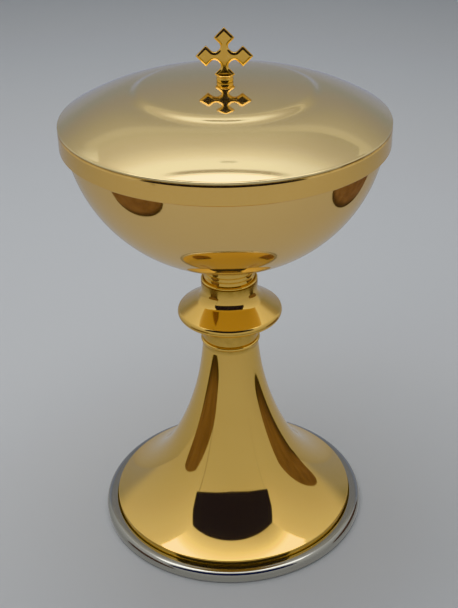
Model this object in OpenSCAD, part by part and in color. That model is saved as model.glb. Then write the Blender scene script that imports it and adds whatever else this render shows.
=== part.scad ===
// Ciborium: a covered altar vessel on a trumpet foot.
// Z is up, the axis of the vessel is the Z axis and z = 0 is the surface it
// stands on. All sizes are in millimetres.

/* [Base ring] */
// Outer radius of the base ring
ring_r = 64.3; // [60:0.1:70]
// Height of the base ring
ring_h = 5.0; // [4:0.1:6]
// Radius of the ring's rounded outer edge
ring_round = 3.2; // [2:0.1:3.5]
// Inner radius of the base ring
ring_bore_r = 52; // [48:0.5:54]
// Height of the rebate that the foot's rim stands in
rebate_z = 3.2; // [2.5:0.1:3.5]

/* [Foot] */
// Radius of the foot's turned-down rim
foot_r = 58.4; // [56:0.1:59]
// Height of the foot's rim edge above the table
foot_edge_z = 7.9; // [7:0.1:9]
// Slope of the foot's surface at the rim, in degrees
rim_slope = 28; // [24:1:30]
// Slope where the lower and upper curves of the foot meet
mid_slope = 61; // [59:1:63]
// Slope at the top of the foot
top_slope = 85.6; // [84:0.1:87]
// Radius of the foot's lower curve, in section
flare_r = 68.5; // [66:0.5:70]
// Radius of the foot's upper curve, in section
stem_r = 140; // [138:1:142]
// Wall of the spun foot
foot_wall = 1.0; // [0.8:0.1:1.4]
// Height of the foot's top face
foot_top_z = 96.3; // [96:0.1:97]

/* [Stem] */
// Radius of the lower collar
collar_r = 13.05; // [12.8:0.05:13.3]
// Height of the lower collar's top face
collar_top_z = 103.5; // [102:0.1:104]
// Radius of the knop's rim
knop_r = 24.2; // [23:0.1:26]
// Height of the knop's rim
knop_z = 110; // [109:0.1:111]
// Radius of the knop's rounded rim, in section
knop_round = 2.3; // [1.5:0.1:2.6]
// Slope of the knop's upper face
knop_slope = 39; // [36:1:42]
// Radius of the cove between the knop's bell and disc
knop_cove = 7; // [6:0.5:8]
// Height where the bell begins to flare
bell_z = 122; // [121:0.5:123]
// Height of the knop's top face
knop_top_z = 126; // [125.5:0.1:126.5]
// Wall of the hollow knop
knop_wall = 1.3; // [1:0.1:1.6]
// Radius of the bead at the top of the knop
bead_r = 13.0; // [12.8:0.05:13.2]
// Height of the bead
bead_h = 1.4; // [1:0.1:1.8]
// Radius of the neck
neck_r = 11.8; // [11:0.1:12]

/* [Bowl] */
// Half width of the bowl's curve
bowl_a = 68.4; // [68:0.1:68.5]
// Depth of the bowl's curve, from its widest height to the bottom
bowl_b = 65.6; // [64:0.1:66]
// Height of the widest part of the bowl's curve
bowl_mid_z = 202.6; // [202.5:0.1:203]
// Height of the bowl's rim
rim_z = 201.4; // [200:0.1:201.5]
// Wall of the spun bowl
bowl_wall = 1.0; // [0.8:0.1:1.2]

/* [Lid] */
// Outer radius of the lid's band and edge
lid_r = 70.5; // [70.2:0.1:71]
// Height of the band's lower edge
band_bottom_z = 194.1; // [193:0.1:195]
// Height of the band's top, under the dome
band_top_z = 202.6; // [202.4:0.1:202.8]
// Thickness of the band
band_wall = 1.5; // [1.2:0.1:1.6]
// Thickness of the dome
dome_wall = 1.0; // [0.8:0.1:1.1]
// Height of the middle of the boss on the dome
apex_z = 219.4; // [219:0.1:220]
// Radius of curvature of the boss
boss_curve = 264; // [250:1:280]
// Radius of the boss, at the middle of its shoulder
lid_boss_r = 38.2; // [37.5:0.1:39]
// Softness of the boss's shoulder
shoulder = 0.85; // [0.7:0.05:1]
// Height of the dome at the foot of the boss
dome_top_z = 215; // [214.6:0.1:215.3]
// Slope of the dome at the foot of the boss, in degrees
dome_slope = 5.2; // [4.8:0.1:5.6]
// Radius of curvature of the dome, in section
dome_curve = 62; // [61:0.5:63]

/* [Finial] */
// Radius of the spool's barrel
spool_r = 3.6; // [3.5:0.05:3.7]
// Height of the spool's barrel
spool_bead_h = 1.95; // [1.8:0.05:2.1]
// Radius of the ring on top of the barrel
spool_ring_r = 3.75; // [3.65:0.05:3.85]
// Height of the ring
spool_ring_h = 0.9; // [0.8:0.05:1]
// Distance from the middle of the cross to each tip
cross_arm = 11.9; // [11.5:0.1:12.2]
// Half diagonal of each lozenge
lozenge = 4.3; // [4.1:0.1:4.4]
// Half width of the arms at the waist
waist = 1.6; // [1.5:0.05:1.8]
// Radius of the hollow between two arms and their lozenges
waist_curve = 2.0; // [1.6:0.1:2.1]
// Thickness of the cross
cross_t = 2.4; // [2:0.1:2.6]
// Height of the middle of the cross
cross_z = 229.9; // [229.5:0.1:230.2]

/* [Fasteners] */
// Radius of the tie rod
rod_r = 4; // [3:0.5:4]
// Across flats of the tie nut
nut_af = 13; // [12:0.5:14]
// Height of the tie nut
nut_h = 6.5; // [6:0.1:6.8]
// Radius of the finial stud
stud_r = 2; // [1.5:0.5:2]
// Across flats of the finial nut
small_nut_af = 7; // [6:0.5:7.5]
// Height of the finial nut
small_nut_h = 2.6; // [2.2:0.1:2.8]

/* [Hidden] */
$fn = 128;

gold = "gold";
steel = "silver";
brass = "goldenrod";

// clearances
rod_gap = 0.2;      // round the tie rod, where it passes through
stud_gap = 0.05;    // running fit of the stud in the dome
seat_gap = 0.1;     // between the lid's ledge and the bowl's rim
turn_gap = 0.05;    // under the finial's spool and over its washer

edge_round = 0.6;   // rounding of the foot's rim edge
lip_round = 1.0;    // bead at the top of the foot
lip_z = foot_top_z - lip_round;
foot_neck_r = 13.4; // radius of the foot just under its lip
spigot_r = 7;       // spigots that centre the collar, knop and neck
spigot_h = 1.4;
floor_t = 1.4;      // floors of the collar, knop and foot
boss_r = 8.8;       // threaded boss under the bowl
boss_z = 129;
rod_top_z = 135.4;
rod_bottom_z = 82;
steps = 24;         // points along a long curve

// points along an arc in the r-z plane, angles in degrees
function arc(r, z, radius, a0, a1, n) =
    [for (i = [0:n]) let (a = a0 + (a1 - a0) * i / n) [r + radius * cos(a), z + radius * sin(a)]];

function reverse(list) = [for (i = [len(list) - 1:-1:0]) list[i]];

// ---- foot curve: rim edge, lower curve and upper curve, all tangent ----
edge_c = [foot_r - edge_round, foot_edge_z - edge_round];
edge_end = edge_c + edge_round * [sin(rim_slope), cos(rim_slope)];
flare_c = edge_end + flare_r * [sin(rim_slope), cos(rim_slope)];
flare_end = flare_c - flare_r * [sin(mid_slope), cos(mid_slope)];
stem_c = flare_end + stem_r * [sin(mid_slope), cos(mid_slope)];

// the trumpet at a distance inside the outer surface, from the rim upwards
function trumpet(inset) = concat(
    arc(flare_c[0], flare_c[1], flare_r + inset, 270 - rim_slope, 270 - mid_slope, steps),
    arc(stem_c[0], stem_c[1], stem_r + inset, 270 - mid_slope, 270 - top_slope, steps));

// ---- bowl curve ----
function bowl_r_at(z, inset) =
    (bowl_a - inset) * sqrt(max(0, 1 - pow((z - bowl_mid_z) / (bowl_b - inset), 2)));
function bowl_curve(inset, a_top, n) =
    [for (i = [0:n]) let (a = -90 + (a_top + 90) * i / n)
        [(bowl_a - inset) * cos(a), bowl_mid_z + (bowl_b - inset) * sin(a)]];

// ---- lid curve: flat round boss, soft shoulder and outer dome ----
function boss_z_at(r) = apex_z - r * r / (2 * boss_curve);
function dome_z_at(r) = let (d = r - lid_boss_r)
    dome_top_z - d * tan(dome_slope) - d * d / (2 * dome_curve);
function lid_z_at(r) = let (share = 1 / (1 + exp((r - lid_boss_r) / shoulder)))
    dome_z_at(r) + (boss_z_at(r) - dome_z_at(r)) * share;

lid_edge_round = 0.4;
lid_edge_z = dome_z_at(lid_r - lid_edge_round) - lid_edge_round;
seat_r = 5.4;       // flat seat for the finial on the boss
seat_z = lid_z_at(seat_r);
lid_inner_z = seat_z - dome_wall;

// radii at which the lid's curve is drawn, closer together at the shoulder
function lid_radii(r_end) = concat(
    [for (r = [seat_r:3:lid_boss_r - 5]) r],
    [for (r = [lid_boss_r - 4:0.4:lid_boss_r + 4]) r],
    [for (i = [0:16]) lid_boss_r + 5 + (r_end - lid_boss_r - 5) * i / 16]);

// ---- finial heights ----
spool_z = seat_z + turn_gap;
spool_top_z = spool_z + spool_bead_h + spool_ring_h;
tenon_z = spool_z + 1.2;
washer_h = 0.6;
washer_z = lid_inner_z - turn_gap - washer_h;
small_nut_z = washer_z - small_nut_h;
stud_bottom_z = small_nut_z - 0.6;
stud_top_z = spool_z + 0.7;

// a body of revolution from an outline of [r, z] points
module turned(outline) {
    rotate_extrude() polygon(outline);
}

// hexagon nut standing on z, with a round hole
module hex_nut(af, h, hole_r, z) {
    translate([0, 0, z])
        difference() {
            cylinder(h = h, r = af / 2 / cos(30), $fn = 6);
            translate([0, 0, -1]) cylinder(h = h + 2, r = hole_r);
        }
}

// flat ring standing on z
module washer(inner, outer, h, z) {
    turned([[inner, z], [outer, z], [outer, z + h], [inner, z + h]]);
}

module base_ring() {
    color(steel)
        turned(concat(
            [[ring_bore_r, 0.4], [ring_bore_r + 0.4, 0], [ring_r - 0.5, 0], [ring_r, 0.5]],
            arc(ring_r - ring_round, ring_h - ring_round, ring_round, 0, 90, 12),
            [[foot_r + 0.6, ring_h], [foot_r + 0.2, ring_h - 0.4], [foot_r + 0.2, rebate_z],
             [ring_bore_r, rebate_z]]));
}

module foot() {
    outside = concat(
        [[foot_r, rebate_z]],
        arc(edge_c[0], edge_c[1], edge_round, 0, 90 - rim_slope, 6),
        trumpet(0),
        arc(foot_neck_r - 0.5, lip_z, lip_round, -60, 90, 10));
    inside = concat(
        [[foot_r - foot_wall, rebate_z]],
        trumpet(foot_wall),
        [[foot_neck_r - foot_wall, lip_z - 1.6], [foot_neck_r - foot_wall, foot_top_z - floor_t],
         [rod_r + rod_gap, foot_top_z - floor_t], [rod_r + rod_gap, foot_top_z]]);
    color(gold) turned(concat(outside, reverse(inside)));
}

bridge_h = 2.0;
bridge_z = foot_top_z - floor_t - bridge_h;
spring_h = 1.8;
spring_z = bridge_z - spring_h;
nut_z = spring_z - nut_h;

module bridge_washer() {
    color(steel) washer(rod_r + rod_gap, 11.2, bridge_h, bridge_z);
}

// split spring washer: a ring with a narrow slanted cut
module spring_washer() {
    color(steel)
        difference() {
            washer(rod_r + rod_gap, 7, spring_h, spring_z);
            translate([rod_r + 1.5, 0, spring_z + spring_h / 2])
                rotate([25, 0, 0]) cube([8, 0.6, 2 * spring_h], center = true);
        }
}

module tie_nut() {
    color(steel) hex_nut(nut_af, nut_h, rod_r, nut_z);
}

module tie_rod() {
    chamfer = 0.6;
    color(steel)
        turned([[0, rod_bottom_z], [rod_r - chamfer, rod_bottom_z],
            [rod_r, rod_bottom_z + chamfer], [rod_r, rod_top_z - chamfer],
            [rod_r - chamfer, rod_top_z], [0, rod_top_z]]);
}

module lower_collar() {
    groove = 0.3;
    color(gold)
        turned([[rod_r + rod_gap, foot_top_z], [collar_r - groove, foot_top_z],
            [collar_r, foot_top_z + groove], [collar_r, collar_top_z],
            [spigot_r, collar_top_z], [spigot_r, collar_top_z + spigot_h],
            [rod_r + rod_gap, collar_top_z + spigot_h]]);
}

// outer face of the knop's upper half, from the rim up to its top edge
knop_rim_c = [knop_r - knop_round, knop_z];
function knop_upper_curve(inset) = concat(
    arc(knop_rim_c[0], knop_rim_c[1], knop_round - inset, 0, 90 - knop_slope, 8),
    arc(bead_r + knop_cove, bell_z, knop_cove + inset, 270 - knop_slope, 180, 12));
// the lower half: the rim turns under and runs in to the collar
under_slope = 24;
function knop_lower_curve(inset) = arc(knop_rim_c[0], knop_rim_c[1], knop_round - inset,
    under_slope - 90, 0, 8);

module knop_lower() {
    color(gold)
        turned(concat(
            [[spigot_r, collar_top_z], [collar_r, collar_top_z]],
            knop_lower_curve(0),
            reverse(knop_lower_curve(knop_wall)),
            [[collar_r - 0.5, collar_top_z + knop_wall], [spigot_r, collar_top_z + knop_wall]]));
}

module knop_upper() {
    color(gold)
        turned(concat(
            knop_upper_curve(0),
            [[bead_r, knop_top_z], [spigot_r, knop_top_z], [spigot_r, knop_top_z - floor_t],
             [bead_r - knop_wall, knop_top_z - floor_t]],
            reverse(knop_upper_curve(knop_wall))));
}

module knop_spacer() {
    bottom = collar_top_z + spigot_h;
    top = knop_top_z - spigot_h;
    color(brass) washer(rod_r + rod_gap, 6.4, top - bottom, bottom);
}

module knop_bead() {
    half = bead_h / 2;
    color(gold)
        turned(concat(
            [[neck_r, knop_top_z], [bead_r - half, knop_top_z]],
            arc(bead_r - half, knop_top_z + half, half, -90, 90, 10),
            [[neck_r + 0.25, knop_top_z + bead_h], [neck_r, knop_top_z + bead_h - 0.4]]));
}

// height of the bowl's outer surface at a radius near its bottom
function bowl_under(r) = bowl_mid_z - bowl_b * sqrt(1 - pow(r / bowl_a, 2));

module neck() {
    groove = 0.25;
    groove_w = 0.5;
    grooves = [129.6, 131.6];
    color(gold)
        difference() {
            turned([[rod_r + rod_gap, knop_top_z - spigot_h], [spigot_r, knop_top_z - spigot_h],
                [spigot_r, knop_top_z], [neck_r, knop_top_z], [neck_r, bowl_under(neck_r)],
                [boss_r, bowl_under(boss_r)], [boss_r, boss_z], [rod_r + rod_gap, boss_z]]);
            for (z = grooves)
                washer(neck_r - groove, neck_r + 1, groove_w, z - groove_w / 2);
        }
}

module bowl_boss() {
    dish = [for (i = [0:6]) let (r = boss_r * (1 - i / 6)) [r, bowl_under(r)]];
    color(brass)
        turned(concat(
            [[rod_r, boss_z], [boss_r, boss_z]], dish, [[0, rod_top_z], [rod_r, rod_top_z]]));
}

module bowl() {
    lip = bowl_wall / 2;
    lip_r = bowl_r_at(rim_z - lip, 0) - lip;
    lip_angle = asin((rim_z - lip - bowl_mid_z) / bowl_b);
    color(gold)
        turned(concat(
            bowl_curve(0, lip_angle, 2 * steps),
            arc(lip_r, rim_z - lip, lip, 10, 170, 6),
            reverse(bowl_curve(bowl_wall, lip_angle, 2 * steps))));
}

module lid_band() {
    ledge_r = bowl_a - 2.6;
    ledge_z = rim_z + seat_gap;
    inner_r = lid_r - band_wall;
    neck_z = band_top_z - 0.7;
    edge = 0.4;
    color(gold)
        turned([[inner_r + edge, band_bottom_z], [lid_r - edge, band_bottom_z],
            [lid_r, band_bottom_z + edge], [lid_r, neck_z], [lid_r - 0.4, band_top_z],
            [ledge_r, band_top_z], [ledge_r, ledge_z], [inner_r, ledge_z],
            [inner_r, band_bottom_z + edge]]);
}

module lid_dome() {
    edge_r = lid_r - lid_edge_round;
    outside = concat(
        [for (r = lid_radii(edge_r)) [r, lid_z_at(r)]],
        arc(edge_r, lid_edge_z, lid_edge_round, 60, -20, 6),
        [[lid_r - 0.4, band_top_z]]);
    inner_edge = lid_r - band_wall - 1.2;
    inside = concat(
        [[stud_r + stud_gap, lid_inner_z]],
        [for (r = lid_radii(inner_edge)) [r, lid_z_at(r) - dome_wall]],
        [[inner_edge, band_top_z]]);
    color(gold) turned(concat(outside, reverse(inside), [[stud_r + stud_gap, seat_z]]));
}

// the four-ended cross as a flat outline, one quarter repeated round
module cross_outline() {
    // the hollow touches the lozenge's 45 degree edge and is narrowest at the waist
    corner_x = waist - waist_curve * (sqrt(2) - 1);
    hollow = arc(corner_x + waist_curve * sqrt(2), cross_arm - 2 * lozenge + corner_x,
        waist_curve, 135, 225, 8);
    quarter = concat(
        [[0, cross_arm], [lozenge, cross_arm - lozenge]],
        hollow,
        [for (p = reverse(hollow)) [p[1], p[0]]],
        [[cross_arm - lozenge, lozenge]]);
    polygon([for (k = [0:3]) for (p = quarter)
        [p[0] * cos(90 * k) + p[1] * sin(90 * k), p[1] * cos(90 * k) - p[0] * sin(90 * k)]]);
}

// the cross stands in the spool, so its lowest tip is cut off flat
module cross_plate() {
    translate([0, cross_t / 2, cross_z])
        rotate([90, 0, 0]) linear_extrude(cross_t)
            intersection() {
                cross_outline();
                translate([-cross_arm, tenon_z - cross_z]) square(2 * cross_arm + 1);
            }
}

module cross() {
    color(gold) cross_plate();
}

// points up the side of a round bead whose middle stands proud by the bulge
function bead_side(radius, z, h, bulge) =
    let (half = h / 2, curve = (bulge * bulge + half * half) / (2 * bulge), swing = asin(half / curve))
    arc(radius - curve, z + half, curve, -swing, swing, 8);

// the spool: a barrel with a rounded ring on it, slotted for the cross
bead_bulge = 0.15;
ring_bulge = 0.35;
module finial_spool() {
    color(gold)
        difference() {
            turned(concat(
                [[0, stud_top_z], [stud_r, stud_top_z], [stud_r, spool_z]],
                bead_side(spool_r, spool_z, spool_bead_h, bead_bulge),
                bead_side(spool_ring_r, spool_z + spool_bead_h, spool_ring_h, ring_bulge),
                [[0, spool_top_z]]));
            cross_plate();
        }
}

module finial_stud() {
    chamfer = 0.3;
    color(steel)
        turned([[0, stud_bottom_z], [stud_r - chamfer, stud_bottom_z],
            [stud_r, stud_bottom_z + chamfer], [stud_r, stud_top_z], [0, stud_top_z]]);
}

module finial_washer() {
    color(steel) washer(stud_r, 4.5, washer_h, washer_z);
}

module finial_nut() {
    color(steel) hex_nut(small_nut_af, small_nut_h, stud_r, small_nut_z);
}

base_ring();
foot();
bridge_washer();
spring_washer();
tie_nut();
tie_rod();
lower_collar();
knop_lower();
knop_upper();
knop_spacer();
knop_bead();
neck();
bowl_boss();
bowl();
lid_band();
lid_dome();
finial_spool();
cross();
finial_stud();
finial_washer();
finial_nut();
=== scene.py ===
"""Ciborium: polished gold vessel on a nickel-ringed trumpet foot, in a light tent."""
import math

import bpy
import numpy as np
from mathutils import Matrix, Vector


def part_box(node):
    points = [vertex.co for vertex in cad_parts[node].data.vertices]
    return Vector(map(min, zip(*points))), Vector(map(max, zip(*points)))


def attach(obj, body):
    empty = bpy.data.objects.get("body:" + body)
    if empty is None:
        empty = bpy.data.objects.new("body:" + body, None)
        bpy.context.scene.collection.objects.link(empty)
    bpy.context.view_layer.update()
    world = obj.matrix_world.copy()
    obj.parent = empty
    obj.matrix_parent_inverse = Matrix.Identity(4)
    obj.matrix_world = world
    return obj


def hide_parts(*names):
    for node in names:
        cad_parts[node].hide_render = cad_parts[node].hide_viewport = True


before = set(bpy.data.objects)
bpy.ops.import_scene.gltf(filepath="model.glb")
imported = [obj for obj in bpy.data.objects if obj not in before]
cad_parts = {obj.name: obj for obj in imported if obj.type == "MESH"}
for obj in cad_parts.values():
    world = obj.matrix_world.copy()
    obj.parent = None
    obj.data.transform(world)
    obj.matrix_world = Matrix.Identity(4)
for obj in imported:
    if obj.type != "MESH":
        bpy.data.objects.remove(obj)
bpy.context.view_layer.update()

scene = bpy.context.scene
MM = 0.001


# ---------------------------------------------------------------- outlines
# An outline is a list of (radius, height) in millimetres, run so that the
# solid lies on its left: up the outside, then down the inside.

def sind(a):
    return math.sin(math.radians(a))


def cosd(a):
    return math.cos(math.radians(a))


def arc(r, z, radius, a0, a1, n):
    """Points along an arc in the section plane, angles in degrees."""
    return [(r + radius * cosd(a0 + (a1 - a0) * i / n), z + radius * sind(a0 + (a1 - a0) * i / n))
            for i in range(n + 1)]


def box_mm(node):
    """(outer radius, lowest height, highest height) of a round CAD node, in mm."""
    lo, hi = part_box(node)
    return hi.x / MM, lo.z / MM, hi.z / MM


def soften(outline, radius, corner=35.0, n=4):
    """The closed outline with each corner sharper than the angle rounded off."""
    out = []
    count = len(outline)
    for i in range(count):
        p, q, s = (np.array(outline[(i + k) % count], float) for k in (-1, 0, 1))
        a, b = q - p, s - q
        la, lb = np.linalg.norm(a), np.linalg.norm(b)
        if la < 1e-9 or lb < 1e-9:
            continue
        turn = math.degrees(math.acos(max(-1.0, min(1.0, float(a @ b) / (la * lb)))))
        if turn < corner or q[0] < 1e-6:
            out.append((float(q[0]), float(q[1])))
            continue
        cut = min(radius * math.tan(math.radians(turn) / 2), 0.45 * la, 0.45 * lb)
        start, end = q - a / la * cut, q + b / lb * cut
        for k in range(n + 1):
            t = k / n
            point = (1 - t) ** 2 * start + 2 * t * (1 - t) * q + t * t * end
            out.append((float(point[0]), float(point[1])))
    return out


# ---------------------------------------------------------------- meshes

def spun(r, z, angle):
    """The point at a radius and height in millimetres, turned about the axis by an angle in radians."""
    return (r * MM * math.cos(angle), r * MM * math.sin(angle), z * MM)


def finish_mesh(name, verts, faces, body, materials, replaces=(), sharp=28.0, tags=None):
    """A smooth piece on its body. Edges sharper than the angle stay crisp; tags pick each face's material."""
    mesh = bpy.data.meshes.new(name)
    mesh.from_pydata([tuple(v) for v in verts], [], faces)
    mesh.validate()
    mesh.polygons.foreach_set("use_smooth", [True] * len(mesh.polygons))
    mesh.set_sharp_from_angle(angle=math.radians(sharp))
    for material in materials:
        mesh.materials.append(material)
    if tags is not None and len(tags) == len(mesh.polygons):
        mesh.polygons.foreach_set("material_index", tags)
    mesh.update()
    piece = bpy.data.objects.new(name, mesh)
    scene.collection.objects.link(piece)
    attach(piece, body)
    if replaces:
        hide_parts(*replaces)
    return piece


def lathe(name, outline, body, materials, replaces=(), turns=256, inside_from=None):
    """A closed body of revolution. Segments from inside_from onwards take the second material."""
    verts, rings = [], []
    for r, z in outline:
        if r < 1e-6:
            rings.append([len(verts)] * turns)
            verts.append((0.0, 0.0, z * MM))
        else:
            rings.append(list(range(len(verts), len(verts) + turns)))
            verts += [spun(r, z, 2 * math.pi * k / turns) for k in range(turns)]
    faces, tags = [], []
    count = len(outline)
    for i in range(count):
        j = (i + 1) % count
        if outline[i][0] < 1e-6 and outline[j][0] < 1e-6:
            continue
        for k in range(turns):
            m = (k + 1) % turns
            quad = [rings[i][k], rings[i][m], rings[j][m], rings[j][k]]
            clean = [v for n, v in enumerate(quad) if v not in quad[:n]]
            faces.append(clean)
            tags.append(1 if inside_from is not None and i >= inside_from else 0)
    return finish_mesh(name, verts, faces, body, materials, replaces, tags=tags)


def threaded_rod(name, radius, z0, z1, pitch, body, materials, replaces):
    """A rod with a real helical thread and chamfered ends."""
    turns, per_pitch = 48, 10
    depth = 0.54 * pitch
    crest, flank = 0.12, 0.72       # shares of half a pitch
    rows = int((z1 - z0) / pitch * per_pitch)
    chamfer = 1.2 * depth
    verts, faces = [(0, 0, z0 * MM)], []
    for i in range(rows + 1):
        z = z0 + (z1 - z0) * i / rows
        ends = min(z - z0, z1 - z)
        for k in range(turns):
            phase = (z / pitch - k / turns) % 1.0
            cut = depth * min(1.0, max(0.0, (abs(2 * phase - 1) - crest) / flank))
            r = min(radius - cut, radius - chamfer + ends)
            verts.append(spun(r, z, 2 * math.pi * k / turns))
    top = len(verts)
    verts.append((0, 0, z1 * MM))

    def ring(i, k):
        return 1 + i * turns + k % turns

    for k in range(turns):
        faces.append([0, ring(0, k + 1), ring(0, k)])
        faces.append([top, ring(rows, k), ring(rows, k + 1)])
        for i in range(rows):
            faces.append([ring(i, k), ring(i, k + 1), ring(i + 1, k + 1), ring(i + 1, k)])
    return finish_mesh(name, verts, faces, body, materials, replaces, sharp=38.0)


def hex_nut(name, flats, z0, z1, hole, body, materials, replaces):
    """A hexagon nut with its corners chamfered and a countersunk hole."""
    per_side = 12
    turns = 6 * per_side
    shoulder = 0.96 * flats / 2
    sink, chamfer = 0.35, 30.0      # of the hole's mouth, and the corners' angle
    levels = []
    for k in range(turns):
        a = 360.0 * k / turns
        r = flats / 2 / cosd((a % 60) - 30)
        drop = max(0.0, (r - shoulder) * math.tan(math.radians(chamfer)))
        levels.append([(hole + sink, z0), (shoulder, z0), (r, z0 + drop), (r, z1 - drop),
                       (shoulder, z1), (hole + sink, z1), (hole, z1 - sink), (hole, z0 + sink)])
    verts, faces = [], []
    for k, level in enumerate(levels):
        verts += [spun(r, z, 2 * math.pi * k / turns) for r, z in level]
    n = len(levels[0])
    for k in range(turns):
        m = (k + 1) % turns
        for i in range(n):
            j = (i + 1) % n
            faces.append([k * n + i, m * n + i, m * n + j, k * n + j])
    return finish_mesh(name, verts, faces, body, materials, replaces, sharp=14.0)


def split_ring(name, inner, outer, z0, z1, body, materials, replaces):
    """A spring washer: a square ring with a narrow slanted cut."""
    section = soften([(inner, z0), (outer, z0), (outer, z1), (inner, z1)], 0.18)
    steps, half_gap, lean = 120, math.radians(3.4), math.tan(math.radians(25))
    verts, faces = [], []
    n = len(section)
    for k in range(steps + 1):
        for r, z in section:
            shift = (z - (z0 + z1) / 2) * lean / ((inner + outer) / 2)
            a = half_gap + (2 * math.pi - 2 * half_gap) * k / steps + shift
            verts.append(spun(r, z, a))
    for k in range(steps):
        for i in range(n):
            j = (i + 1) % n
            faces.append([k * n + i, (k + 1) * n + i, (k + 1) * n + j, k * n + j])
    faces.append(list(range(n)))
    faces.append([steps * n + i for i in reversed(range(n))])
    return finish_mesh(name, verts, faces, body, materials, replaces)


# ---------------------------------------------------------------- materials

class Nodes:
    """A small helper that adds nodes to a material and links them."""

    def __init__(self, name):
        self.material = bpy.data.materials.new(name)
        self.material.use_nodes = True
        self.tree = self.material.node_tree
        self.tree.nodes.clear()

    def add(self, kind, inputs=None, **settings):
        node = self.tree.nodes.new(kind)
        for key, value in settings.items():
            setattr(node, key, value)
        for key, value in (inputs or {}).items():
            self.put(node.inputs[key], value)
        return node

    def put(self, socket, value):
        if isinstance(value, bpy.types.NodeSocket):
            self.tree.links.new(value, socket)
        else:
            socket.default_value = value

    def math(self, operation, a, b=0.0, clamp=False):
        node = self.tree.nodes.new("ShaderNodeMath")
        node.operation = operation
        node.use_clamp = clamp
        for socket, value in zip(node.inputs, (a, b)):
            self.put(socket, value)
        return node.outputs[0]

    def mix(self, amount, a, b, blend="MIX"):
        node = self.add("ShaderNodeMix", data_type="RGBA", blend_type=blend)
        self.put(node.inputs[0], amount)
        self.put(node.inputs[6], a)
        self.put(node.inputs[7], b)
        return node.outputs[2]

    def ramp(self, value, low, high, out_low=0.0, out_high=1.0):
        node = self.add("ShaderNodeMapRange", {"From Min": low, "From Max": high,
                                               "To Min": out_low, "To Max": out_high},
                        interpolation_type="SMOOTHSTEP")
        self.put(node.inputs["Value"], value)
        return node.outputs[0]

    def noise(self, vector, scale, detail=2.0, rough=0.5, distortion=0.0):
        node = self.add("ShaderNodeTexNoise", {"Vector": vector, "Scale": scale, "Detail": detail,
                                               "Roughness": rough, "Distortion": distortion})
        return node.outputs["Fac"]


def rgba(r, g, b):
    return (r, g, b, 1.0)


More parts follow.
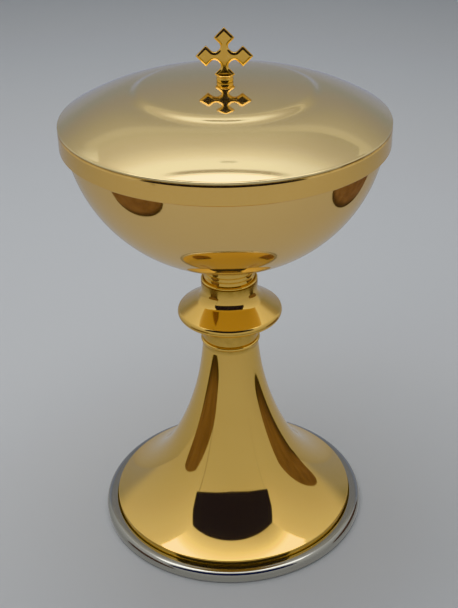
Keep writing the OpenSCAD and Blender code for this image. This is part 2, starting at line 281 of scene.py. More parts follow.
def metal(name, colour, deep, rough, turned=0.0, scratches=0.2, smudges=0.3, ripple=0.0, haze=0.6):
    """Polished or turned metal whose colour drifts towards deep, with hairlines, smudges and turning
    marks. Its seams are darkened by painted shade with some tarnish. The haze is a thin rough film over it,
    as handling and polish leave behind."""
    n = Nodes(name)
    place = n.add("ShaderNodeTexCoord").outputs["Object"]
    parts = n.add("ShaderNodeSeparateXYZ", {"Vector": place})
    x, y, z = parts.outputs[0], parts.outputs[1], parts.outputs[2]
    radius = n.math("SQRT", n.math("ADD", n.math("MULTIPLY", x, x), n.math("MULTIPLY", y, y)))
    section = n.add("ShaderNodeCombineXYZ", {"X": radius, "Y": z}).outputs[0]

    # turning marks: rings about the axis
    fine = n.noise(section, 2600.0, 3.0, 0.65)
    broad = n.noise(section, 260.0, 2.0, 0.5)
    rings = n.math("ADD", n.math("MULTIPLY", fine, 0.6), n.math("MULTIPLY", broad, 0.4))

    # hairlines: thin level lines of two stretched noises
    hair = None
    for turn, stretch, offset in (((0.3, 0.2, 0.9), (1.0, 5.0, 2.0), 0.0),
                                  ((1.1, 0.7, 0.1), (4.0, 1.0, 3.0), 7.0)):
        mapped = n.add("ShaderNodeMapping", {"Vector": place, "Rotation": turn, "Scale": stretch,
                                             "Location": (offset, offset, 0.0)}).outputs[0]
        level = n.math("ABSOLUTE", n.math("SUBTRACT", n.noise(mapped, 34.0, 3.0, 0.6, 0.6), 0.5))
        line = n.ramp(level, 0.0, 0.006, 1.0, 0.0)
        gate = n.ramp(n.noise(place, 46.0 + offset, 2.0), 0.5, 0.62)
        both = n.math("MULTIPLY", line, gate)
        hair = both if hair is None else n.math("MAXIMUM", hair, both)

    # smudges: soft patches with a blotchy edge, left by handling
    patch = n.ramp(n.noise(place, 21.0, 4.0, 0.62, 0.4), 0.5, 0.72)
    film = n.math("MULTIPLY", patch, n.ramp(n.noise(place, 160.0, 3.0, 0.7), 0.3, 0.7, 0.5, 1.0))

    # the seams between parts are painted dark: painted shade where the parts meet, with some darker metal and
    # dirt that also roughen them; the seams are marked on the mesh by "seam"
    seam = n.add("ShaderNodeAttribute", attribute_name="seam").outputs["Fac"]
    seam_shade_and_tarnish = n.math("MULTIPLY", seam, n.ramp(n.noise(place, 240.0, 3.0, 0.6), 0.2, 0.75, 0.45, 1.0))

    drift = n.ramp(n.noise(place, 9.0, 3.0, 0.55), 0.3, 0.75)
    tone = n.mix(n.math("MULTIPLY", drift, 0.35), rgba(*colour), rgba(*deep))
    tone = n.mix(n.math("MULTIPLY", film, 0.14 * smudges), tone, rgba(*[c * 0.72 for c in deep]))
    tone = n.mix(n.math("MULTIPLY", hair, 0.22 * scratches), tone, rgba(*[c * 0.6 for c in deep]))
    # painted shade with some tarnish: the seams turn nearly black
    tone = n.mix(n.math("MULTIPLY", seam_shade_and_tarnish, 0.72), tone, rgba(*[c * 0.22 for c in deep]))

    rough_out = n.math("ADD", rough, n.math("MULTIPLY", film, 0.06 * smudges))
    rough_out = n.math("ADD", rough_out, n.math("MULTIPLY", hair, 0.12 * scratches))
    rough_out = n.math("ADD", rough_out, n.math("MULTIPLY", rings, 0.05 * turned))
    rough_out = n.math("ADD", rough_out, n.math("MULTIPLY", seam_shade_and_tarnish, 0.25), clamp=True)

    height = n.math("MULTIPLY", rings, 0.000006 * turned)
    height = n.math("SUBTRACT", height, n.math("MULTIPLY", hair, 0.0000012 * scratches))
    if ripple:
        height = n.math("ADD", height, n.math("MULTIPLY", n.noise(place, 17.0, 1.0, 0.4), 0.0001 * ripple))
    bump = n.add("ShaderNodeBump", {"Strength": 1.0, "Distance": 1.0, "Height": height}).outputs[0]

    shader = n.add("ShaderNodeBsdfPrincipled", {
        "Base Color": tone, "Metallic": 1.0, "Roughness": rough_out,
        "Coat Weight": haze, "Coat Roughness": 0.6, "Normal": bump})
    n.add("ShaderNodeOutputMaterial", {"Surface": shader.outputs[0]})
    return n.material


gold_foot = metal("gold_foot", (0.90, 0.62, 0.21), (0.85, 0.53, 0.14), 0.045, turned=0.15, ripple=0.35)
gold_stem = metal("gold_stem", (0.90, 0.61, 0.20), (0.85, 0.50, 0.12), 0.05, turned=0.3)
gold_bowl = metal("gold_bowl", (0.93, 0.66, 0.29), (0.88, 0.58, 0.21), 0.055, turned=0.15, ripple=0.3)
gold_lid = metal("gold_lid", (0.93, 0.765, 0.425), (0.91, 0.72, 0.36), 0.06, turned=0.2, scratches=0.35,
                 ripple=0.3)
gold_band = metal("gold_band", (0.93, 0.63, 0.235), (0.88, 0.55, 0.17), 0.06, turned=0.35)
gold_finial = metal("gold_finial", (0.92, 0.60, 0.18), (0.86, 0.45, 0.10), 0.06, turned=0.1, scratches=0.4)
gold_inside = metal("gold_inside", (0.90, 0.62, 0.24), (0.80, 0.50, 0.16), 0.26, turned=1.6, smudges=0.6)
nickel = metal("nickel", (0.47, 0.465, 0.42), (0.38, 0.365, 0.32), 0.09, turned=0.5, scratches=0.5)
brass = metal("brass", (0.80, 0.60, 0.28), (0.62, 0.42, 0.16), 0.24, turned=1.4, smudges=0.8)
steel = metal("steel", (0.56, 0.56, 0.56), (0.42, 0.41, 0.40), 0.28, turned=1.2, smudges=0.8)


def mark_seams(piece, seams, reach=0.7):
    """Stores how near each vertex is to any of the seam points (radius, height), from 0 to 1."""
    mesh = piece.data
    co = np.empty(len(mesh.vertices) * 3)
    mesh.vertices.foreach_get("co", co)
    co = co.reshape(-1, 3) / MM
    flat = np.stack([np.hypot(co[:, 0], co[:, 1]), co[:, 2]], 1)
    value = np.zeros(len(flat))
    for r, z in seams:
        away = np.hypot(flat[:, 0] - r, flat[:, 1] - z)
        value = np.maximum(value, np.clip(1 - away / reach, 0, 1) ** 2)
    layer = mesh.attributes.new("seam", "FLOAT", "POINT")
    layer.data.foreach_set("value", value.astype(np.float32))


# ---------------------------------------------------------------- base ring and foot
ring_r, _, ring_h = box_mm("base_ring")
foot_r, rebate_z, foot_top = box_mm("foot")
RING_ROUND, RING_BORE, RING_CHAMFER, RING_FOOT = 3.2, 52.0, 0.4, 0.5
FOOT_GAP = 0.2      # between the foot's rim and the ring's rebate
EDGE_ROUND, EDGE_Z, LIP, FOOT_NECK, FLOOR_T, FOOT_WALL = 0.6, 7.9, 1.0, 13.4, 1.4, 1.0
RIM_SLOPE, MID_SLOPE, TOP_SLOPE, FLARE_R, STEM_R = 28.0, 61.0, 85.6, 68.5, 140.0
ROD_HOLE = 4.2

rebate_r = foot_r + FOOT_GAP
ring_outline = ([(RING_BORE, RING_CHAMFER), (RING_BORE + RING_CHAMFER, 0.0),
                 (ring_r - RING_FOOT, 0.0), (ring_r, RING_FOOT)]
                + arc(ring_r - RING_ROUND, ring_h - RING_ROUND, RING_ROUND, 0, 90, 18)
                + [(rebate_r + RING_CHAMFER, ring_h), (rebate_r, ring_h - RING_CHAMFER), (rebate_r, rebate_z),
                   (RING_BORE, rebate_z)])
ring = lathe("base_ring_turned", soften(ring_outline, 0.15), "stand", [nickel], ["base_ring"], 320)
mark_seams(ring, [(rebate_r, ring_h - RING_CHAMFER), (rebate_r, rebate_z)], 0.5)

edge_c = np.array([foot_r - EDGE_ROUND, EDGE_Z - EDGE_ROUND])
edge_end = edge_c + EDGE_ROUND * np.array([sind(RIM_SLOPE), cosd(RIM_SLOPE)])
flare_c = edge_end + FLARE_R * np.array([sind(RIM_SLOPE), cosd(RIM_SLOPE)])
flare_end = flare_c - FLARE_R * np.array([sind(MID_SLOPE), cosd(MID_SLOPE)])
stem_c = flare_end + STEM_R * np.array([sind(MID_SLOPE), cosd(MID_SLOPE)])


def trumpet(inset, n=90):
    """The foot's flare: a tight curve from the rim, then a long one up to the stem."""
    return (arc(flare_c[0], flare_c[1], FLARE_R + inset, 270 - RIM_SLOPE, 270 - MID_SLOPE, n)
            + arc(stem_c[0], stem_c[1], STEM_R + inset, 270 - MID_SLOPE, 270 - TOP_SLOPE, n)[1:])


lip_z = foot_top - LIP
foot_out = ([(foot_r, rebate_z)] + arc(edge_c[0], edge_c[1], EDGE_ROUND, 0, 90 - RIM_SLOPE, 8)
            + trumpet(0.0)[1:] + arc(FOOT_NECK - 0.5, lip_z, LIP, -60, 90, 14))
foot_in = ([(foot_r - FOOT_WALL, rebate_z)] + trumpet(FOOT_WALL, 40)
           + [(FOOT_NECK - FOOT_WALL, lip_z - 1.6), (FOOT_NECK - FOOT_WALL, foot_top - FLOOR_T),
              (ROD_HOLE, foot_top - FLOOR_T), (ROD_HOLE, foot_top)])
foot = lathe("foot_spun", foot_out + foot_in[::-1], "stand", [gold_foot, gold_inside],
             ["foot"], 320, inside_from=len(foot_out))
mark_seams(foot, [(foot_r, rebate_z + 1.8), (foot_r, rebate_z + 1.0), (FOOT_NECK - 0.1, lip_z - 0.95)],
           0.8)

# ---------------------------------------------------------------- stem
collar_r, _, _ = box_mm("lower_collar")
collar_bottom, collar_top = foot_top, box_mm("knop_lower")[1]
knop_r, _, knop_z = box_mm("knop_lower")
_, _, knop_top = box_mm("knop_upper")
bead_r, _, bead_top = box_mm("knop_bead")
neck_r, neck_bottom, _ = box_mm("neck")
KNOP_ROUND, KNOP_SLOPE, KNOP_COVE, BELL_Z, KNOP_WALL, UNDER = 2.3, 39.0, 7.0, 122.0, 1.3, 24.0
SPIGOT_R, SPIGOT_H = 7.0, 1.4
rim_c = (knop_r - KNOP_ROUND, knop_z)

# a short spigot under each turned part keeps it true on the one below
collar = lathe("lower_collar_turned", soften([
    (ROD_HOLE, collar_bottom), (collar_r - 0.3, collar_bottom), (collar_r, collar_bottom + 0.3),
    (collar_r, collar_top), (SPIGOT_R, collar_top), (SPIGOT_R, collar_top + SPIGOT_H),
    (ROD_HOLE, collar_top + SPIGOT_H)], 0.12), "stand", [gold_stem], ["lower_collar"], 192)
mark_seams(collar, [(collar_r, collar_bottom), (collar_r, collar_top)], 0.7)


def under_curve(inset, n=14):
    """The lower half of the knop's rim."""
    return arc(rim_c[0], rim_c[1], KNOP_ROUND - inset, UNDER - 90, 0, n)


def over_curve(inset, n=18):
    """The upper half of the knop's rim, then the hollow of the bell."""
    return (arc(rim_c[0], rim_c[1], KNOP_ROUND - inset, 0, 90 - KNOP_SLOPE, n)
            + arc(bead_r + KNOP_COVE, BELL_Z, KNOP_COVE + inset, 270 - KNOP_SLOPE, 180, 2 * n))


low_out = [(SPIGOT_R, collar_top), (collar_r, collar_top)] + under_curve(0.0)
low_in = ([(SPIGOT_R, collar_top + KNOP_WALL), (collar_r - 0.5, collar_top + KNOP_WALL)]
          + under_curve(KNOP_WALL))
knop_low = lathe("knop_lower_spun", low_out + low_in[::-1], "stand", [gold_stem, gold_inside],
                 ["knop_lower"], 192, inside_from=len(low_out))
mark_seams(knop_low, [(collar_r, collar_top), (knop_r, knop_z)], 0.5)

top_out = over_curve(0.0) + [(bead_r, knop_top), (SPIGOT_R, knop_top), (SPIGOT_R, knop_top - FLOOR_T),
                             (bead_r - KNOP_WALL, knop_top - FLOOR_T)]
top_in = over_curve(KNOP_WALL)
knop_up = lathe("knop_upper_spun", top_out + top_in[::-1], "stand", [gold_stem, gold_inside],
                ["knop_upper"], 192, inside_from=len(top_out))
mark_seams(knop_up, [(bead_r, knop_top), (knop_r, knop_z)], 0.5)

half_bead = (bead_top - knop_top) / 2
bead = lathe("knop_bead_turned", [(neck_r, knop_top), (bead_r - half_bead, knop_top)]
             + arc(bead_r - half_bead, knop_top + half_bead, half_bead, -90, 90, 16)
             + [(neck_r + 0.25, bead_top), (neck_r, bead_top - 0.4)],
             "stand", [gold_stem], ["knop_bead"], 192)
mark_seams(bead, [(bead_r - half_bead, knop_top), (neck_r + 0.25, bead_top)], 0.45)

# ---------------------------------------------------------------- bowl and neck
_, bowl_bottom, rim_z = box_mm("bowl")
BOWL_A, BOWL_B, BOWL_WALL = 68.4, 65.6, 1.0
bowl_mid = bowl_bottom + BOWL_B


def bowl_under(r):
    """Height of the bowl's outside at a radius."""
    return bowl_mid - BOWL_B * math.sqrt(1 - (r / BOWL_A) ** 2)


def bowl_curve(inset, a_top, n):
    return [((BOWL_A - inset) * cosd(-90 + (a_top + 90) * i / n),
             bowl_mid + (BOWL_B - inset) * sind(-90 + (a_top + 90) * i / n)) for i in range(n + 1)]


boss_r, boss_z, boss_top = box_mm("bowl_boss")
groove_z = [boss_z + 0.6, boss_z + 2.6]
GROOVE_DEPTH = 0.25
neck_out = [(ROD_HOLE, neck_bottom), (SPIGOT_R, neck_bottom), (SPIGOT_R, knop_top), (neck_r, knop_top)]
for g in groove_z:
    neck_out += [(neck_r, g - 0.3), (neck_r - GROOVE_DEPTH, g - 0.1), (neck_r - GROOVE_DEPTH, g + 0.1),
                 (neck_r, g + 0.3)]
neck_out += [(neck_r, bowl_under(neck_r)), (boss_r, bowl_under(boss_r)), (boss_r, boss_z), (ROD_HOLE, boss_z)]
neck = lathe("neck_turned", soften(neck_out, 0.08), "stand", [gold_stem], ["neck"], 192)
mark_seams(neck, [(neck_r, g) for g in groove_z] + [(neck_r, bowl_under(neck_r)), (neck_r, bead_top)], 0.4)

lip_half = BOWL_WALL / 2
lip_angle = math.degrees(math.asin((rim_z - lip_half - bowl_mid) / BOWL_B))
lip_r = BOWL_A * cosd(lip_angle) - lip_half
bowl_out = bowl_curve(0.0, lip_angle, 150) + arc(lip_r, rim_z - lip_half, lip_half, 10, 170, 10)
bowl_in = bowl_curve(BOWL_WALL, lip_angle, 110)
bowl = lathe("bowl_spun", bowl_out + bowl_in[::-1], "stand", [gold_bowl, gold_bowl],
             ["bowl"], 320)
mark_seams(bowl, [(neck_r, bowl_under(neck_r))], 0.6)

# ---------------------------------------------------------------- lid
lid_r, band_top, seat_z = box_mm("lid_dome")
_, band_bottom, _ = box_mm("lid_band")
DOME_WALL, BAND_WALL, SEAT_R, EDGE, STUD_HOLE = 1.0, 1.5, 5.4, 0.4, 2.05
CHAMFER, LEDGE, REST_GAP = 0.4, 2.6, 0.1    # of the band's corners, its ledge, and the ledge over the rim
BOSS_CURVE, BOSS_R, SHOULDER = 264.0, 38.2, 0.85
DOME_TOP, DOME_SLOPE, DOME_CURVE = 215.0, 5.2, 62.0
apex_z = seat_z + SEAT_R ** 2 / (2 * BOSS_CURVE)


def dome_z(r):
    """Height of the dome outside the boss: a slope that steepens towards the edge."""
    d = r - BOSS_R
    return DOME_TOP - d * math.tan(math.radians(DOME_SLOPE)) - d * d / (2 * DOME_CURVE)


def lid_z(r):
    """Height of the lid's outside: the shallow boss, blended into the dome over a soft shoulder."""
    share = 1 / (1 + math.exp((r - BOSS_R) / SHOULDER))
    return dome_z(r) + (apex_z - r * r / (2 * BOSS_CURVE) - dome_z(r)) * share


edge_r = lid_r - EDGE
edge_z = dome_z(edge_r) - EDGE
inner_edge = lid_r - BAND_WALL - 1.2
dome_out = ([(lid_r - CHAMFER, band_top)] + arc(edge_r, edge_z, EDGE, -20, 60, 12)
            + [(r, lid_z(r)) for r in np.linspace(edge_r, SEAT_R, 260)[1:]] + [(STUD_HOLE, seat_z)])
dome_in = ([(inner_edge, band_top)]
           + [(r, lid_z(r) - DOME_WALL) for r in np.linspace(inner_edge, SEAT_R, 120)]
           + [(STUD_HOLE, seat_z - DOME_WALL)])
dome = lathe("lid_dome_spun", [(float(r), float(z)) for r, z in dome_out + dome_in[::-1]], "lid",
             [gold_lid, gold_bowl], ["lid_dome"], 384, inside_from=len(dome_out))
mark_seams(dome, [(lid_r - CHAMFER, band_top), (3.3, seat_z)], 0.55)

ledge_r, ledge_z = BOWL_A - LEDGE, rim_z + REST_GAP
inner_r = lid_r - BAND_WALL
band_outline = [(inner_r + CHAMFER, band_bottom), (lid_r - CHAMFER, band_bottom),
                (lid_r, band_bottom + CHAMFER), (lid_r, band_top - 0.7), (lid_r - CHAMFER, band_top),
                (ledge_r, band_top), (ledge_r, ledge_z), (inner_r, ledge_z), (inner_r, band_bottom + CHAMFER)]
band = lathe("lid_band_turned", soften(band_outline, 0.18, 20), "lid", [gold_band],
             ["lid_band"], 384)
mark_seams(band, [(lid_r - CHAMFER, band_top), (lid_r - 0.2, band_top - 0.3)], 0.6)

# ---------------------------------------------------------------- finial
spool_r, spool_z, spool_top = box_mm("finial_spool")
RING_SHARE = 0.9 / 2.85     # of the spool's height
BARREL_STEP, BARREL_BULGE, RING_BULGE = 0.15, 0.15, 0.35
barrel_r = spool_r - BARREL_STEP
ring_z = spool_top - (spool_top - spool_z) * RING_SHARE
stud_top = box_mm("finial_stud")[2]


def bead_side(radius, z0, z1, bulge, n=16):
    """Points up the side of a round bead whose middle stands proud by the bulge."""
    half = (z1 - z0) / 2
    curve = (bulge * bulge + half * half) / (2 * bulge)
    swing = math.degrees(math.asin(half / curve))
    return arc(radius - curve, z0 + half, curve, -swing, swing, n)


SOCKET_R = 2.0
spool_outline = ([(0.0, stud_top), (SOCKET_R, stud_top), (SOCKET_R, spool_z)]
                 + bead_side(barrel_r, spool_z, ring_z, BARREL_BULGE)
                 + bead_side(spool_r, ring_z, spool_top, RING_BULGE) + [(0.0, spool_top)])
spool = lathe("finial_spool_turned", spool_outline, "finial", [gold_finial],
              ["finial_spool"], 128)
mark_seams(spool, [(barrel_r - 0.15, spool_z), (barrel_r - 0.1, ring_z)], 0.35)


def cross_ring(inset):
    """The cross's outline moved inwards by inset: a lozenge at each end and a hollow between."""
    waist, curve, lozenge, soft = 1.6, 2.0, 4.3, 0.22
    corner = waist - curve * (math.sqrt(2) - 1)
    tip = ARM - inset * math.sqrt(2)
    wide = lozenge - inset * math.sqrt(2)
    mid = ARM - lozenge
    hollow = arc(corner + curve * math.sqrt(2), ARM - 2 * lozenge + corner, curve + inset, 135, 225, 10)
    quarter = [(-soft, tip - soft), (0.0, tip - 0.3 * soft), (soft, tip - soft),
               (wide - soft, mid + soft), (wide - 0.3 * soft, mid), (wide - soft, mid - soft)]
    quarter += hollow + [(b, a) for a, b in reversed(hollow)]
    quarter += [(mid - soft, wide - soft), (mid, wide - 0.3 * soft), (mid + soft, wide - soft)]
    points = []
    for k in range(4):
        c, s = cosd(90 * k), sind(90 * k)
        points += [(a * c + b * s, max(CUT_Z, b * c - a * s)) for a, b in quarter]
    return points


cross_lo, cross_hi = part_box("cross")
ARM = (cross_hi.x - cross_lo.x) / 2 / MM
cross_mid_z = cross_hi.z / MM - ARM
CUT_Z = cross_lo.z / MM - cross_mid_z       # the foot of the cross is cut flat, inside the spool
half_t = cross_hi.y / MM
# (inset, depth) of a flat chamfer round the face, softened where it meets the face and the side
layers = [(1.02, 0.0), (0.90, 0.025), (0.80, 0.075), (0.16, 0.42), (0.07, 0.50), (0.0, 0.64)]
sections = ([(inset, -half_t + depth) for inset, depth in layers]
            + [(inset, half_t - depth) for inset, depth in reversed(layers)])
verts, faces = [], []
for inset, y in sections:
    verts += [(a * MM, y * MM, (cross_mid_z + b) * MM) for a, b in cross_ring(inset)]
count = len(cross_ring(0.0))
for i in range(len(sections) - 1):
    for k in range(count):
        m = (k + 1) % count
        faces.append([i * count + k, (i + 1) * count + k, (i + 1) * count + m, i * count + m])
faces.append(list(range(count)))
faces.append([(len(sections) - 1) * count + k for k in reversed(range(count))])
cross = finish_mesh("cross_cast", verts, faces, "finial", [gold_finial], ["cross"], sharp=50.0)
for face in (cross.data.polygons[-1], cross.data.polygons[-2]):
    face.use_smooth = False

# ---------------------------------------------------------------- fasteners

def plain_ring(name, node, bore, corner, body, material):
    """A washer or a tube: a square section that fills the CAD node's box round its bore."""
    r, z0, z1 = box_mm(node)
    section = soften([(bore, z0), (r, z0), (r, z1), (bore, z1)], corner)
    return lathe(name, section, body, [material], [node], 96)


ROD_PITCH, ROD_FLATS, STUD_PITCH, STUD_FLATS = 1.25, 13.0, 0.7, 7.0
BOSS_CAP = 1.4      # the closed top of the bowl's boss, over its thread

rod_r, rod_z0, rod_z1 = box_mm("tie_rod")
threaded_rod("tie_rod_threaded", rod_r, rod_z0, rod_z1, ROD_PITCH, "stand", [steel], ["tie_rod"])
nut_z0, nut_z1 = box_mm("tie_nut")[1:]
hex_nut("tie_nut_hex", ROD_FLATS, nut_z0, nut_z1, rod_r, "stand", [steel], ["tie_nut"])
sp_r, sp_z0, sp_z1 = box_mm("spring_washer")
split_ring("spring_washer_split", ROD_HOLE, sp_r, sp_z0, sp_z1, "stand", [steel], ["spring_washer"])
plain_ring("bridge_washer_turned", "bridge_washer", ROD_HOLE, 0.3, "stand", steel)
plain_ring("knop_spacer_tube", "knop_spacer", ROD_HOLE, 0.25, "stand", brass)
dish = [(boss_r * (1 - i / 8), bowl_under(boss_r * (1 - i / 8))) for i in range(9)]
boss_outline = ([(rod_r, boss_z), (boss_r, boss_z)] + dish
                + [(0.0, boss_top - BOSS_CAP), (rod_r, boss_top - BOSS_CAP)])
lathe("bowl_boss_turned", soften(boss_outline, 0.15), "stand", [brass], ["bowl_boss"], 96)
stud_r, stud_z0, stud_z1 = box_mm("finial_stud")
threaded_rod("finial_stud_threaded", stud_r, stud_z0, stud_z1, STUD_PITCH, "finial", [steel],
             ["finial_stud"])
plain_ring("finial_washer_turned", "finial_washer", stud_r, 0.12, "finial", steel)
fn_z0, fn_z1 = box_mm("finial_nut")[1:]
hex_nut("finial_nut_hex", STUD_FLATS, fn_z0, fn_z1, stud_r, "finial", [steel], ["finial_nut"])


# ---------------------------------------------------------------- stage
# Polished metal shows its surroundings, so a light tent stands round the vessel
# that only its reflections see: paper floor, cloth walls, a bright top and a dark
# opening at the front. The camera and the floor's light see past it. Metres.
WALL_X, FRONT_Y, BACK_Y, TOP_Z = 0.62, -0.43, 0.62, 0.88
SEAM_Y, CLIP_Y = 0.068, 0.150
BRIGHTEST = 3.2


def stage_mesh(name, verts, faces, material, reflected_only=False, smooth=False):
    """A mesh of the stage, in metres. One that is reflected_only is seen by nothing but the metal."""
    mesh = bpy.data.meshes.new(name)
    mesh.from_pydata([tuple(v) for v in verts], [], faces)
    if smooth:
        mesh.polygons.foreach_set("use_smooth", [True] * len(mesh.polygons))
    mesh.materials.append(material)
    mesh.update()
    obj = bpy.data.objects.new(name, mesh)
    scene.collection.objects.link(obj)
    if reflected_only:
        obj.visible_camera = False
        obj.visible_diffuse = False
        obj.visible_shadow = False
        obj.visible_transmission = False
        obj.visible_volume_scatter = False
    return obj


def glow(name, colour_of):
    """A light-giving stage material that only the metal sees. colour_of(n, x, y, z) gives its colour."""
    n = Nodes(name)
    parts = n.add("ShaderNodeSeparateXYZ", {"Vector": n.add("ShaderNodeNewGeometry").outputs["Position"]})
    colour = colour_of(n, *parts.outputs[:3])
    light = n.add("ShaderNodeEmission", {"Color": colour, "Strength": 1.0})
    n.add("ShaderNodeOutputMaterial", {"Surface": light.outputs[0]})
    n.material.cycles.emission_sampling = "NONE"
    return n.material


def grey(level, red=1.0, blue=1.0):
    """A grey of a given brightness, tinted by its red and blue shares."""
    return rgba(level * red, level, level * blue)


def paper(n, x, y, z):
    """The tent's floor sheet: a little brighter towards the front."""
    return n.mix(n.ramp(y, -0.43, 0.5), grey(0.46), grey(0.34, 0.98, 1.04))


def stops(n, value, rows):
    """A colour ramp over rows of (position, red, green, blue)."""
    node = n.add("ShaderNodeValToRGB", {"Fac": value})
    ramp = node.color_ramp
    for k, (place, *colour) in enumerate(rows):
        item = ramp.elements[k] if k < 2 else ramp.elements.new(place)
        item.position, item.color = place, rgba(*colour)
    return node.outputs[0]


def cloth(n, x, y, z):
    """The tent's walls: dim low down at the back, brighter on the sides and towards the top."""
    back = stops(n, z, [(0.25, 0.32, 0.345, 0.43), (0.35, 0.29, 0.31, 0.35), (0.45, 0.32, 0.315, 0.335),
                        (0.60, 0.385, 0.37, 0.35), (0.73, 0.445, 0.425, 0.39), (0.78, 0.53, 0.51, 0.47),
                        (0.87, 0.55, 0.53, 0.48)])
    side = stops(n, z, [(place, *[level] * 3) for place, level in (
        (0.05, 0.46), (0.30, 0.53), (0.44, 0.59), (0.56, 0.64), (0.70, 0.68), (0.87, 0.78))])
    return n.mix(n.ramp(y, 0.38, 0.60), side, back)


def ceiling(n, x, y, z):
    """The tent's top: a bright slot over the vessel, with a dark seam and a small clip behind it."""
    rows = [(-0.43, 0.70, 0.70, 0.70), (-0.37, 0.78, 0.78, 0.78), (-0.31, 0.90, 0.90, 0.90),
            (-0.25, 1.12, 1.12, 1.10), (-0.19, 1.6, 1.6, 1.58), (-0.14, 3.1, 3.1, 3.1),
            (0.030, 3.1, 3.1, 3.1), (0.048, 1.05, 1.05, 1.08), (0.14, 1.0, 1.02, 1.05),
            (0.18, 0.93, 0.93, 0.95), (0.225, 0.83, 0.81, 0.78), (0.27, 0.74, 0.71, 0.68),
            (0.32, 0.66, 0.63, 0.60), (0.38, 0.60, 0.57, 0.53), (0.45, 0.57, 0.54, 0.50),
            (0.61, 0.52, 0.50, 0.45)]
    depth = n.math("DIVIDE", n.math("SUBTRACT", y, FRONT_Y), BACK_Y - FRONT_Y)
    sheet = stops(n, depth, [((row[0] - FRONT_Y) / (BACK_Y - FRONT_Y), *[c / BRIGHTEST for c in row[1:]])
                             for row in rows])
    away = n.math("ABSOLUTE", x)

    def across(place, solid, faded):
        """1 on a line across the tent, fading to 0 on either side of it."""
        return n.ramp(n.math("ABSOLUTE", n.math("SUBTRACT", y, place)), solid, faded, 1.0, 0.0)

    seam = n.math("MULTIPLY", across(SEAM_Y, 0.009, 0.020), n.ramp(away, 0.16, 0.30, 1.0, 0.0))
    clip = n.math("MULTIPLY", across(CLIP_Y, 0.006, 0.011), n.ramp(away, 0.022, 0.036, 1.0, 0.0))
    marks = n.math("MAXIMUM", n.math("MULTIPLY", seam, 0.85), n.math("MULTIPLY", clip, 0.55))
    dimmed = n.math("MULTIPLY", n.ramp(x, 0.0, 0.45, 1.0, 0.82), BRIGHTEST)
    gain = n.add("ShaderNodeCombineColor", {"Red": dimmed, "Green": dimmed, "Blue": dimmed}).outputs[0]
    return n.mix(marks, n.mix(1.0, sheet, gain, "MULTIPLY"), rgba(0.27, 0.23, 0.17))


corners = [(-WALL_X, FRONT_Y), (WALL_X, FRONT_Y), (WALL_X, BACK_Y), (-WALL_X, BACK_Y)]
stage_mesh("tent_floor", [(x, y, -0.0002) for x, y in corners], [(0, 1, 2, 3)],
           glow("tent_paper", paper), True)
stage_mesh("tent_top", [(x, y, TOP_Z) for x, y in corners], [(0, 1, 2, 3)],
           glow("tent_ceiling", ceiling), True)
stage_mesh("tent_walls", [(x, y, z) for z in (0.0, TOP_Z) for x, y in corners],
           [(k, (k + 1) % 4, 4 + (k + 1) % 4, 4 + k) for k in range(4)], glow("tent_cloth", cloth), True)

# the dark opening that the camera looks through, in front of the front wall: its lower
# edge is a shallow curve, lowest in the middle
OPEN_X, OPEN_Z, OPEN_RISE, OPEN_STEPS = 0.58, 0.257, 0.118, 48
STRIP_Y = FRONT_Y + 0.006       # seams and folds lie just in front of the opening
dark = glow("opening_dark", lambda n, x, y, z: rgba(0.030, 0.036, 0.10))
lower = [(OPEN_X * (2 * step / OPEN_STEPS - 1), OPEN_Z + OPEN_RISE * abs(2 * step / OPEN_STEPS - 1) ** 1.6)
         for step in range(OPEN_STEPS + 1)]
outline = lower + [(0.615, 0.60), (0.60, 0.86), (-0.60, 0.86), (-0.615, 0.60)]
stage_mesh("opening", [(x, FRONT_Y + 0.004, z) for x, z in outline], [list(range(len(outline)))], dark, True)


def ribbon(name, points, width, tone):
    """A sewn seam down the tent's front wall."""
    side = []
    for x, z in points:
        side += [(x - width / 2, STRIP_Y, z), (x + width / 2, STRIP_Y, z)]
    bands = [(2 * k, 2 * k + 1, 2 * k + 3, 2 * k + 2) for k in range(len(points) - 1)]
    stage_mesh(name, side, bands, glow(name, lambda n, x, y, z: grey(tone)), True)


ribbon("seam_left", [(-0.51, 0.35), (-0.444, 0.18), (-0.40, 0.0)], 0.009, 0.13)
ribbon("seam_right", [(0.51, 0.35), (0.444, 0.18), (0.40, 0.0)], 0.006, 0.30)
# the fold where the wall meets the floor, left of the seam: a dark strip of painted shade in the crease
FOLD_END, FOLD_H = -0.41, 0.006
stage_mesh("fold_left", [(-WALL_X, STRIP_Y, 0.0), (FOLD_END, STRIP_Y, 0.0), (FOLD_END, STRIP_Y, FOLD_H),
                         (-WALL_X, STRIP_Y, FOLD_H)], [(0, 1, 2, 3)],
           glow("fold", lambda n, x, y, z: grey(0.15)), True)


def wood(n, x, y, z):
    """Blotchy brown, with painted shade making it nearly black where it meets the floor."""
    place = n.add("ShaderNodeNewGeometry").outputs["Position"]
    blot = n.ramp(n.noise(place, 38.0, 4.0, 0.6), 0.3, 0.7)
    tone = n.mix(blot, rgba(0.13, 0.088, 0.08), rgba(0.20, 0.138, 0.12))
    # painted shade along the foot of the block
    return n.mix(n.ramp(z, 0.0, 0.028), rgba(0.035, 0.028, 0.03), tone)


brown = glow("side_brown", wood)


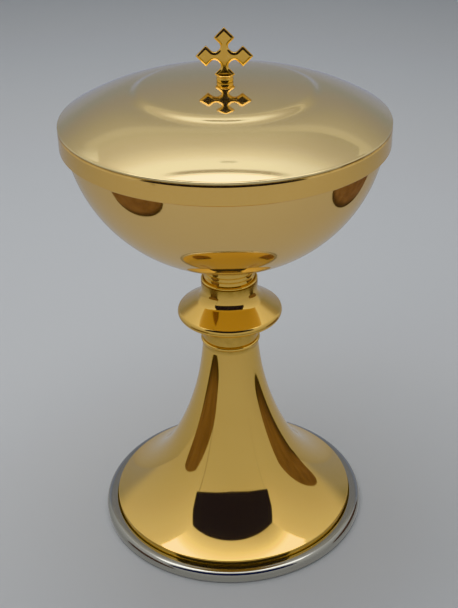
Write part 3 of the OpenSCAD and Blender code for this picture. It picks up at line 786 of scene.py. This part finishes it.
def side_block(name, azimuth, reach, radius, top, soft=0.012, turns=32):
    """The near side of a squat brown block beside the vessel. Its rounded top sinks towards both ends,
    so that the bowl mirrors it and the lid's band doesn't."""
    section = [(radius, 0.0)] + [(radius - soft * (1 - cosd(a)), top - soft * (1 - sind(a)))
                                 for a in range(0, 91, 15)]
    mid = (reach * sind(azimuth), -reach * cosd(azimuth))
    verts = []
    for r, z in section:
        for k in range(turns + 1):
            a = math.radians(azimuth + 90 + 180 * k / turns)
            sunk = 0.45 + 0.55 * math.sin(math.pi * k / turns)
            verts.append((mid[0] + r * math.sin(a), mid[1] - r * math.cos(a), z * sunk))
    wide = turns + 1
    faces = [(i * wide + k, i * wide + k + 1, (i + 1) * wide + k + 1, (i + 1) * wide + k)
             for i in range(len(section) - 1) for k in range(turns)]
    return stage_mesh(name, verts, faces, brown, True)


side_block("side_left", -63, 0.320, 0.115, 0.072)
side_block("side_right", 101, 0.335, 0.115, 0.086)

# the pale sheet that the camera sees, curving up a long way behind
floor_n = Nodes("floor_paper")
spot = floor_n.add("ShaderNodeTexCoord").outputs["Object"]
tint = floor_n.mix(floor_n.noise(spot, 3.0, 3.0), rgba(0.597, 0.605, 0.615), rgba(0.622, 0.63, 0.64))
grain = floor_n.add("ShaderNodeBump", {"Strength": 0.1, "Distance": 0.0003,
                                       "Height": floor_n.noise(spot, 900.0, 4.0, 0.6)}).outputs[0]
sheet = floor_n.add("ShaderNodeBsdfPrincipled", {"Base Color": tint, "Roughness": 0.9, "Normal": grain})
floor_n.add("ShaderNodeOutputMaterial", {"Surface": sheet.outputs[0]})

SHEET_Z, SHEET_FLAT, SHEET_TURN = -0.0003, 2.0, 1.0
profile = [(0.0, SHEET_Z), (0.3, SHEET_Z), (0.8, SHEET_Z), (SHEET_FLAT, SHEET_Z)]
profile += [(SHEET_FLAT + SHEET_TURN * sind(a), SHEET_Z + SHEET_TURN - SHEET_TURN * cosd(a))
            for a in range(5, 91, 5)] + [(SHEET_FLAT + SHEET_TURN, 3.0)]
verts, faces, around = [], [], 96
for r, z in profile:
    verts += [(r * math.cos(2 * math.pi * k / around), r * math.sin(2 * math.pi * k / around), z)
              for k in range(around)]
for i in range(len(profile) - 1):
    for k in range(around):
        m = (k + 1) % around
        faces.append([i * around + k, i * around + m, (i + 1) * around + m, (i + 1) * around + k])
sweep = stage_mesh("sweep", verts, faces, floor_n.material, smooth=True)
sweep.visible_glossy = False

world = bpy.data.worlds.new("room")
scene.world = world
world.use_nodes = True
background = world.node_tree.nodes["Background"]
background.inputs[0].default_value = (0.9, 0.95, 1.0, 1.0)
background.inputs[1].default_value = 0.38


def area(name, place, aim, size, power):
    """A square white light for the floor; the metal mirrors the tent instead."""
    data = bpy.data.lights.new(name, "AREA")
    data.shape, data.size, data.energy = "SQUARE", size, power
    lamp = bpy.data.objects.new(name, data)
    scene.collection.objects.link(lamp)
    lamp.location = place
    lamp.rotation_mode = "QUATERNION"
    lamp.rotation_quaternion = (Vector(aim) - Vector(place)).to_track_quat("-Z", "Y")
    lamp.visible_glossy = False


area("top_light", (-0.08, 0.26, 0.85), (-0.03, 0.25, 0), 0.9, 4.6)
area("front_light", (-0.25, -0.40, 0.85), (0, 0, 0), 0.6, 0.9)

# ---------------------------------------------------------------- camera
# fitted to the outlines in the photo, taken from a little above the lid
camera_data = bpy.data.cameras.new("camera")
camera = bpy.data.objects.new("camera", camera_data)
scene.collection.objects.link(camera)
camera.location = (0.01933, -0.4411, 0.3651)
camera.rotation_mode = "XYZ"
camera.rotation_euler = (math.radians(90 - 29.81), 0.0, 0.0)
camera_data.sensor_width = 36.0
camera_data.lens = 64.86
camera_data.shift_x = -0.0699
camera_data.clip_start = 0.02
camera_data.clip_end = 20.0
scene.camera = camera
scene.view_settings.view_transform = "Khronos PBR Neutral"
